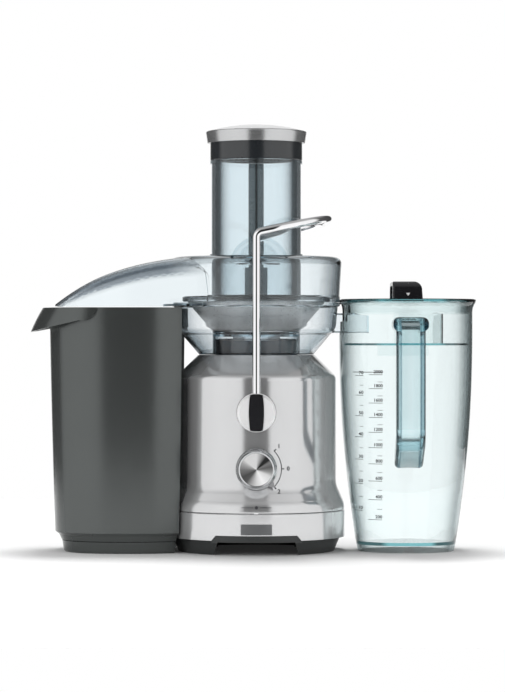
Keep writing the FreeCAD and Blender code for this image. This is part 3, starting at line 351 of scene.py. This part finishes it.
def turned_metal(name, roughness):
    """Face turned on a lathe: fine rings about the dial's axis over grey wedges painted in the base
    colour as its sheen, a painted reflection.
    """
    mat, tree, shader, _ = new_material(name)
    shader.inputs["Metallic"].default_value = 0.6
    shader.inputs["Anisotropic"].default_value = 0.93
    from_axis = vector_node(tree, "SUBTRACT", object_place(tree), (0, 0, DIAL_HEIGHT * MM))
    across = vector_node(tree, "CROSS_PRODUCT", from_axis, (0, 1, 0))
    world = tree.nodes.new("ShaderNodeVectorTransform")
    world.vector_type = "VECTOR"
    world.convert_from = "OBJECT"
    world.convert_to = "WORLD"
    tree.links.new(across, world.inputs["Vector"])
    tree.links.new(vector_node(tree, "NORMALIZE", world.outputs["Vector"], (0, 0, 0)),
                   shader.inputs["Tangent"])
    rings = tree.nodes.new("ShaderNodeTexWave")
    rings.wave_type = "RINGS"
    rings.rings_direction = "Y"
    rings.inputs["Scale"].default_value = 500.0
    rings.inputs["Distortion"].default_value = 1.5
    tree.links.new(from_axis, rings.inputs["Vector"])
    split = split_xyz(tree, from_axis)
    turn = math_node(tree, "ARCTAN2", split["Z"], split["X"])
    share = math_node(tree, "ADD", math_node(tree, "DIVIDE", turn, 2 * math.pi), 0.5)
    # painted reflection: grey wedges by angle stand in for the turned face's sheen
    painted_sheen = grey_ramp(tree, share, DIAL_PAINTED_SHEEN)
    tree.links.new(painted_sheen, shader.inputs["Base Color"])
    tree.links.new(ranged(tree, rings.outputs["Fac"], roughness - 0.03, roughness + 0.03),
                   shader.inputs["Roughness"])
    return mat


def make_materials():
    """One material for each slot of the record, and a few for single nodes and for the prints."""
    clear = (0.965, 0.985, 0.993)
    # colour of the painted shade on clear plastic seen edge-on
    edge = (0.04, 0.07, 0.09)
    absorb = (0.40, 0.64, 0.74)
    cover = clear_plastic("clear_cover", clear, edge, absorb, density=26.0)
    brushed_round = (1, 1, 60)
    return {
        "silver_body": metal("silver_body", (0.69, 0.695, 0.70), 0.13, grain_scale=1400.0, bump=0.0015,
                             spread=0.015, metallic=0.72),
        "badge_metal": metal("badge_metal", (0.20, 0.205, 0.21), 0.35, grain_scale=900.0),
        "dark_frame": plastic("dark_frame", (0.035, 0.038, 0.038), 0.42),
        # near black for the base plate: painted shade under the body
        "painted_shade_black": plastic("painted_shade_black", (0.008, 0.008, 0.009), 0.8),
        "rubber": plastic("rubber", (0.02, 0.02, 0.02), 0.7, texture_scale=600.0, bump=0.15),
        "screw_steel": metal("screw_steel", (0.55, 0.55, 0.55), 0.3),
        "seat_plastic": plastic("seat_plastic", (0.018, 0.05, 0.085), 0.45),
        "nylon": plastic("nylon", (0.80, 0.79, 0.74), 0.4),
        "shaft_steel": metal("shaft_steel", (0.6, 0.6, 0.61), 0.22, brushed_round, grain_scale=60.0),
        "lamination": metal("lamination", (0.36, 0.36, 0.37), 0.4, grain=(1, 1, 200), grain_scale=60.0,
                            bump=0.25),
        "copper": metal("copper", (0.72, 0.36, 0.18), 0.3, grain=(1, 1, 90), grain_scale=60.0,
                        bump=0.3),
        "bracket_alloy": metal("bracket_alloy", (0.6, 0.6, 0.6), 0.42, grain_scale=300.0, bump=0.2),
        "carbon": plastic("carbon", (0.02, 0.02, 0.02), 0.6),
        "board": plastic("board", (0.03, 0.16, 0.06), 0.35),
        "black_plastic": plastic("black_plastic", (0.012, 0.012, 0.014), 0.22, coat=0.4),
        "dial_metal": metal("dial_metal", (0.62, 0.63, 0.64), 0.2, grain_scale=700.0),
        "dial_turned_painted_sheen": turned_metal("dial_turned_painted_sheen", 0.36),
        "pointer_grey": plastic("pointer_grey", (0.34, 0.34, 0.35), 0.45),
        "chrome": metal("chrome", (0.92, 0.92, 0.93), 0.04, grain_scale=120.0, bump=0.005, spread=0.01),
        "hub_silver": metal("hub_silver", (0.97, 0.97, 0.975), 0.48, grain_scale=900.0, bump=0.004,
                            metallic=0.6),
        "clear_plastic": clear_plastic("clear_plastic", clear, edge, absorb, density=26.0),
        "clear_cover": smoke_hood_edges(cover, (0.26, 0.30, 0.34)),
        "clear_jug": clear_plastic("clear_jug", (0.97, 0.99, 0.99), (0.03, 0.07, 0.08),
                                   (0.36, 0.73, 0.76), density=24.0),
        "clear_handle": dark_rims(clear_plastic("clear_handle", (0.95, 0.98, 0.985), (0.03, 0.05, 0.06),
                                                (0.42, 0.70, 0.76), density=24.0)),
        "clear_bowl": clear_plastic("clear_bowl", (0.98, 0.99, 0.995), (0.20, 0.28, 0.33), absorb,
                                    density=18.0),
        "basket_plastic": clear_plastic("basket_plastic", (0.94, 0.965, 0.975), (0.22, 0.30, 0.35),
                                        (0.50, 0.62, 0.70), density=18.0, roughness=0.10),
        "mesh_steel": metal("mesh_steel", (0.70, 0.71, 0.72), 0.3, grain_scale=500.0),
        "mesh_sheet": perforated("mesh_sheet", (0.88, 0.92, 0.94), pitch=950.0, open_size=0.42),
        "collar_plastic": plastic("collar_plastic", (0.018, 0.021, 0.024), 0.22, coat=0.5),
        "cap_silver": metal("cap_silver", (0.60, 0.605, 0.61), 0.2, grain=(1, 1, 40), grain_scale=90.0,
                            bump=0.02, metallic=0.85),
        "bin_plastic": plastic("bin_plastic", (0.105, 0.113, 0.111), 0.22, texture_scale=1100.0,
                               bump=0.004, metallic=0.66),
        "print_dark": plastic("print_dark", (0.03, 0.03, 0.035), 0.5),
        "print_white": plastic("print_white", (0.85, 0.85, 0.85), 0.5),
    }


JUG_NODES = ("juice_jug", "jug_handle", "jug_lid", "froth_separator")


def paint_nodes(materials):
    """Every CAD node takes the material of its slot, with a few that have their own."""
    own = {name: "clear_jug" for name in JUG_NODES}
    own["jug_handle"] = "clear_handle"
    own["juicer_cover"] = "clear_cover"
    own["dial_face"] = "dial_turned_painted_sheen"
    # base plate near black: painted shade under the body
    own["base_plate"] = "painted_shade_black"
    own["filter_bowl"] = "clear_bowl"
    for part in frame["record"]["subparts"]:
        name = part["node"]
        material = materials[own.get(name, part["material_slot"])]
        mesh = NODES[name].data
        if not mesh.materials:
            mesh.materials.append(material)
        for index in range(len(mesh.materials)):
            mesh.materials[index] = material


# ---------------------------------------------------------------- pieces
def add_piece(name, mesh, material, body):
    piece = bpy.data.objects.new(name, mesh)
    bpy.context.scene.collection.objects.link(piece)
    mesh.materials.clear()
    mesh.materials.append(material)
    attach(piece, body)
    return piece


def surface_y(node, x, z, start_y=-0.4):
    """Depth of a CAD node's front surface at (x, z), in metres."""
    hit, place, _, _ = NODES[node].ray_cast(Vector((x, start_y, z)), Vector((0, 1, 0)))
    return place.y if hit else None


def lay_on_front(mesh, node):
    """Move a flat print, drawn in XZ, on to the front surface of a CAD node."""
    for vertex in mesh.vertices:
        depth = surface_y(node, vertex.co.x, vertex.co.z)
        if depth is not None:
            vertex.co.y = depth - PRINT_LIFT * MM


def strip_mesh(name, strips):
    """Flat ribbons in XZ; each strip is a list of ((x, z), (x, z)) rungs in millimetres."""
    mesh = bpy.data.meshes.new(name)
    bm = bmesh.new()
    for strip in strips:
        before = None
        for low, high in strip:
            rung = [bm.verts.new((x * MM, 0, z * MM)) for x, z in (low, high)]
            if before:
                bm.faces.new((before[0], rung[0], rung[1], before[1]))
            before = rung
    bm.to_mesh(mesh)
    bm.free()
    return mesh


def bar(x_low, x_high, z, thick, steps=8):
    """A level printed line."""
    rungs = []
    for index in range(steps + 1):
        x = x_low + (x_high - x_low) * index / steps
        rungs.append(((x, z - thick / 2), (x, z + thick / 2)))
    return rungs


def ray(centre, angle, r_low, r_high, thick):
    """A short printed line that points away from a centre."""
    way = (math.cos(angle), math.sin(angle))
    side = (-way[1] * thick / 2, way[0] * thick / 2)
    rungs = []
    for radius in (r_low, r_high):
        x = centre[0] + way[0] * radius
        z = centre[1] + way[1] * radius
        rungs.append(((x - side[0], z - side[1]), (x + side[0], z + side[1])))
    return rungs


def arc(centre, radius, from_deg, to_deg, thick, steps=36):
    rungs = []
    for index in range(steps + 1):
        angle = math.radians(from_deg + (to_deg - from_deg) * index / steps)
        way = (math.cos(angle), math.sin(angle))
        inner = (centre[0] + way[0] * (radius - thick / 2), centre[1] + way[1] * (radius - thick / 2))
        outer = (centre[0] + way[0] * (radius + thick / 2), centre[1] + way[1] * (radius + thick / 2))
        rungs.append((inner, outer))
    return rungs


def text_mesh(body, size, x, z, align="CENTER"):
    """Flat numerals in XZ at (x, z) millimetres."""
    curve = bpy.data.curves.new("text_" + body, "FONT")
    curve.body = body
    curve.size = size * MM
    curve.align_x = align
    curve.align_y = "CENTER"
    curve.resolution_u = 4
    curve.offset = TEXT_SWELL * MM
    writer = bpy.data.objects.new("writer", curve)
    bpy.context.scene.collection.objects.link(writer)
    depsgraph = bpy.context.evaluated_depsgraph_get()
    mesh = bpy.data.meshes.new_from_object(writer.evaluated_get(depsgraph))
    bpy.data.objects.remove(writer)
    for vertex in mesh.vertices:
        flat = vertex.co.copy()
        vertex.co = (x * MM + flat.x, 0, z * MM + flat.y)
    return mesh


def join_meshes(name, meshes):
    bm = bmesh.new()
    for mesh in meshes:
        bm.from_mesh(mesh)
    joined = bpy.data.meshes.new(name)
    bm.to_mesh(joined)
    bm.free()
    return joined


def dial_scale(materials):
    """Arc, three ticks and three numerals beside the dial."""
    centre = (0.0, DIAL_HEIGHT)
    strips = [arc(centre, DIAL_ARC_R, *DIAL_ARC_DEG, DIAL_ARC_THICK)]
    numerals = []
    for angle, text in DIAL_MARKS:
        way = math.radians(angle)
        strips.append(ray(centre, way, *DIAL_TICK_R, DIAL_TICK_THICK))
        x = DIAL_TEXT_R * math.cos(way)
        z = DIAL_HEIGHT + DIAL_TEXT_R * math.sin(way)
        numerals.append(text_mesh(text, DIAL_TEXT_SIZE, x, z))
    mesh = join_meshes("dial_scale", [strip_mesh("arc", strips)] + numerals)
    lay_on_front(mesh, "motor_housing")
    return add_piece("dial_scale", mesh, materials["print_dark"], "base")


def line_emblem(materials):
    """Thin printed line with a round dot, above the band's seam."""
    z = EMBLEM_HEIGHT
    near, far = EMBLEM_REACH
    strips = [bar(-far, -near, z, EMBLEM_THICK), bar(near, far, z, EMBLEM_THICK)]
    strips.append(arc((0.0, z), EMBLEM_DOT_R / 2, 0, 360, EMBLEM_DOT_R, steps=20))
    mesh = strip_mesh("line_emblem", strips)
    lay_on_front(mesh, "motor_housing")
    return add_piece("line_emblem", mesh, materials["print_dark"], "base")


def jug_half_width(z):
    for (low, half_low), (high, half_high) in zip(JUG_HALF_WIDTHS, JUG_HALF_WIDTHS[1:]):
        if z <= high:
            return half_low + (half_high - half_low) * (z - low) / (high - low)
    return JUG_HALF_WIDTHS[-1][1]


def level_height(millilitres):
    """Height at which the jug holds that much, by adding thin slices of its inside."""
    held = 0.0
    z = JUG_FLOOR
    step = 0.5
    while held < millilitres * CUBIC_MM_PER_ML:
        half = jug_half_width(z) - JUG_WALL
        held += OVAL_AREA * half * half * JUG_DEPTH * step
        z += step
    return z


def scale_numeral(number, x, z):
    return text_mesh(str(number), SCALE_TEXT_SIZE, x, z + SCALE_TEXT_RISE, "RIGHT")


def jug_scale(materials):
    """Two columns of graduations: fluid ounces at the left and millilitres at the right."""
    strips = [bar(*FULL_LINE, level_height(2000) + FULL_LINE_RISE, FULL_LINE_THICK, steps=16)]
    numerals = []
    for count in range(1, 11):
        z = level_height(count * 200)
        strips.append(bar(*ML_LINE, z, LINE_THICK))
        numerals.append(scale_numeral(count * 200, ML_TEXT_X, z))
        if count < 10:
            half_way = level_height(count * 200 + 100)
            strips.append(bar(*ML_HALF_LINE, half_way, HALF_LINE_THICK, steps=4))
    for count in range(1, 8):
        z = level_height(count * TEN_OUNCES)
        strips.append(bar(*OUNCE_LINE, z, LINE_THICK, steps=6))
        numerals.append(scale_numeral(count * 10, OUNCE_TEXT_X, z))
        if count < 7:
            half_way = level_height(count * TEN_OUNCES + FIVE_OUNCES)
            strips.append(bar(*OUNCE_HALF_LINE, half_way, HALF_LINE_THICK, steps=4))
    mesh = join_meshes("jug_scale", [strip_mesh("lines", strips)] + numerals)
    lay_on_front(mesh, "juice_jug")
    return add_piece("jug_scale", mesh, materials["print_dark"], "jug")


def triangle_mesh(name, x, z, half, height):
    mesh = bpy.data.meshes.new(name)
    bm = bmesh.new()
    corners = [(x - half, z + height), (x + half, z + height), (x, z)]
    bm.faces.new([bm.verts.new((a * MM, 0, b * MM)) for a, b in corners])
    bm.to_mesh(mesh)
    bm.free()
    return mesh


def lid_mark(materials):
    """Small triangle on the lid's grip."""
    mesh = triangle_mesh("lid_mark", *LID_MARK_FOOT, *LID_MARK_SIZE)
    lay_on_front(mesh, "lid_grip")
    return add_piece("lid_mark", mesh, materials["print_white"], "jug_lid")


def basket_sheet(materials):
    """Perforated steel cone between the disc and the rim."""
    mesh = bpy.data.meshes.new("basket_sheet")
    bm = bmesh.new()
    rings = []
    for radius, z in (MESH_FOOT, MESH_KNEE, MESH_RIM):
        ring = []
        for index in range(MESH_SIDES):
            angle = 2 * math.pi * index / MESH_SIDES
            x = radius * MM * math.cos(angle)
            y = radius * MM * math.sin(angle)
            ring.append(bm.verts.new((x, y, z * MM)))
        rings.append(ring)
    for low, high in zip(rings, rings[1:]):
        for index in range(MESH_SIDES):
            after = (index + 1) % MESH_SIDES
            face = bm.faces.new((low[index], low[after], high[after], high[index]))
            face.smooth = True
    bm.to_mesh(mesh)
    bm.free()
    piece = add_piece("basket_sheet", mesh, materials["mesh_sheet"], "spindle")
    sheet = piece.modifiers.new("sheet", "SOLIDIFY")
    sheet.thickness = SHEET_THICK * MM
    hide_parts("filter_mesh")
    return piece


# ---------------------------------------------------------------- studio
# Brightness of the studio by direction round the object, from 0 towards the camera to 1 behind
# the object: a dark gap between two wide soft boxes, dark side flags, and a bright back wall.
STUDIO_RING = [(0.0, 0.02), (0.088, 0.03), (0.118, 1.0), (0.30, 1.04), (0.53, 0.95),
               (0.60, 0.10), (0.885, 0.05), (0.92, 0.95), (1.0, 1.0)]
# What clear plastic lets through from the same directions: a weaker gap and paler flags.
THROUGH_RING = [(0.0, 0.22), (0.05, 0.75), (0.30, 1.0), (0.53, 0.95), (0.60, 0.28), (0.885, 0.24),
                (0.92, 0.98), (1.0, 1.04)]
ZENITH = 0.40            # the dimmer ceiling
CEILING_RISE = (0.45, 0.85)      # upward share of a direction over which the ceiling takes over
BACKDROP = 1.0           # what the camera sees behind the object
FLOOR_GLOW = (0.015, 0.17)       # glow under the object and further out; the floor is no lamp, and its low glow under the object is a painted shadow
GLOW_REACH = (0.08, 0.32)        # metres from the middle over which the floor's glow grows
FLOOR_HALF = 0.95                # metres; small, so that the body reflects the dark gap
# Dark cards behind the object: name, colour, and half width, y and heights in millimetres.
CARDS = [("cover_card", (0.06, 0.10, 0.12), 17.0, 151.0, (240.0, 309.0)),
         ("centre_card", (0.02, 0.04, 0.05), 11.0, 150.0, (232.0, 660.0)),
         ("centre_line", (0.0, 0.0, 0.0), 1.6, 149.0, (232.0, 660.0))]
CAMERA_PLACE = (-0.004, -2.97, 0.2226)   # metres
CAMERA_LENS = 145.7                      # millimetres, for a sensor 36 wide
CAMERA_SHIFT = -0.0087


def make_floor():
    """White table that glows towards its edges, so that it runs into the backdrop; the glow is painted
    light, dimmest under the object as a painted shadow.
    """
    mesh = bpy.data.meshes.new("studio_floor")
    half = FLOOR_HALF
    corners = [(-half, -half, 0), (half, -half, 0), (half, half, 0), (-half, half, 0)]
    mesh.from_pydata(corners, [], [(0, 1, 2, 3)])
    floor = bpy.data.objects.new("studio_floor", mesh)
    bpy.context.scene.collection.objects.link(floor)
    mat, tree, shader, _ = new_material("floor_white")
    shader.inputs["Base Color"].default_value = (0.80, 0.80, 0.80, 1)
    shader.inputs["Roughness"].default_value = 0.9
    shader.inputs["Specular IOR Level"].default_value = 0.0
    shader.inputs["Emission Color"].default_value = (1, 1, 1, 1)
    length = tree.nodes.new("ShaderNodeVectorMath")
    length.operation = "LENGTH"
    tree.links.new(object_place(tree), length.inputs[0])
    # painted light: the floor's glow, lowest under the object as a painted shadow
    glow = tree.nodes.new("ShaderNodeMapRange")
    glow.inputs["From Min"].default_value = GLOW_REACH[0]
    glow.inputs["From Max"].default_value = GLOW_REACH[1]
    glow.inputs["To Min"].default_value = FLOOR_GLOW[0]
    glow.inputs["To Max"].default_value = FLOOR_GLOW[1]
    tree.links.new(length.outputs["Value"], glow.inputs["Value"])
    tree.links.new(glow.outputs["Result"], shader.inputs["Emission Strength"])
    mesh.materials.append(mat)


def make_card(name, colour, half, y, heights):
    """Upright dark card behind the object, seen only through its clear parts."""
    mesh = bpy.data.meshes.new(name)
    foot, top = heights
    corners = [(-half, y, foot), (half, y, foot), (half, y, top), (-half, y, top)]
    mesh.from_pydata([tuple(value * MM for value in corner) for corner in corners], [], [(0, 1, 2, 3)])
    card = bpy.data.objects.new(name, mesh)
    bpy.context.scene.collection.objects.link(card)
    mat, _, shader, _ = new_material(name)
    shader.inputs["Base Color"].default_value = (*colour, 1)
    shader.inputs["Roughness"].default_value = 1.0
    mesh.materials.append(mat)
    card.visible_camera = False
    card.visible_diffuse = False
    card.visible_glossy = False
    card.visible_shadow = False


def mix_colours(tree, factor, first, second):
    """Blend from a socket to a grey level or to another socket."""
    node = tree.nodes.new("ShaderNodeMix")
    node.data_type = "RGBA"
    if isinstance(second, float):
        node.inputs["B"].default_value = (second, second, second, 1)
    else:
        tree.links.new(second, node.inputs["B"])
    tree.links.new(factor, node.inputs["Factor"])
    tree.links.new(first, node.inputs["A"])
    return node.outputs["Result"]


def make_world():
    """Studio by direction, another one through clear plastic, and white where the camera sees it."""
    world = bpy.data.worlds.new("studio")
    bpy.context.scene.world = world
    world.use_nodes = True
    tree = world.node_tree
    tree.nodes.clear()
    place = tree.nodes.new("ShaderNodeTexCoord")
    split = split_xyz(tree, place.outputs["Generated"])
    side = math_node(tree, "ABSOLUTE", split["X"])
    front = math_node(tree, "MULTIPLY", split["Y"], -1.0)
    turn = math_node(tree, "DIVIDE", math_node(tree, "ARCTAN2", side, front), math.pi)
    top = tree.nodes.new("ShaderNodeMapRange")
    top.inputs["From Min"].default_value = CEILING_RISE[0]
    top.inputs["From Max"].default_value = CEILING_RISE[1]
    tree.links.new(split["Z"], top.inputs["Value"])
    path = tree.nodes.new("ShaderNodeLightPath")
    through = grey_ramp(tree, turn, THROUGH_RING)
    around = grey_ramp(tree, turn, STUDIO_RING)
    ring = mix_colours(tree, path.outputs["Is Transmission Ray"], around, through)
    lit = mix_colours(tree, top.outputs["Result"], ring, ZENITH)
    seen = mix_colours(tree, path.outputs["Is Camera Ray"], lit, BACKDROP)
    back = tree.nodes.new("ShaderNodeBackground")
    tree.links.new(seen, back.inputs["Color"])
    out = tree.nodes.new("ShaderNodeOutputWorld")
    tree.links.new(back.outputs["Background"], out.inputs["Surface"])


def area_light(name, place, aim, size, power, tall):
    data = bpy.data.lights.new(name, "AREA")
    data.energy = power
    data.shape = "RECTANGLE"
    data.size = size
    data.size_y = tall
    lamp = bpy.data.objects.new(name, data)
    bpy.context.scene.collection.objects.link(lamp)
    lamp.location = place
    lamp.rotation_euler = (Vector(aim) - Vector(place)).to_track_quat("-Z", "Y").to_euler()
    lamp.visible_camera = False
    lamp.visible_glossy = False
    lamp.visible_transmission = False


def make_lights():
    area_light("back_soft", (0.0, 0.44, 2.3), (0, 0, 0), size=0.7, power=38, tall=0.7)
    area_light("left_soft", (-1.6, -1.8, 1.0), (0, 0, 0.2), size=1.0, power=10, tall=1.4)
    area_light("right_soft", (1.6, -1.8, 1.0), (0, 0, 0.2), size=1.0, power=7, tall=1.4)


def make_camera():
    """Level camera at 2.97 m, a little below half the object's height, with a long lens."""
    data = bpy.data.cameras.new("camera")
    data.lens = CAMERA_LENS
    data.sensor_width = 36.0
    data.shift_y = CAMERA_SHIFT
    camera = bpy.data.objects.new("camera", data)
    bpy.context.scene.collection.objects.link(camera)
    camera.location = CAMERA_PLACE
    camera.rotation_euler = (math.pi / 2, 0, 0)
    bpy.context.scene.camera = camera


make_camera()
make_floor()
for card_values in CARDS:
    make_card(*card_values)
make_world()
make_lights()
bpy.context.scene.view_settings.view_transform = "Standard"
MATERIALS = make_materials()
paint_nodes(MATERIALS)
dial_scale(MATERIALS)
line_emblem(MATERIALS)
jug_scale(MATERIALS)
lid_mark(MATERIALS)
basket_sheet(MATERIALS)
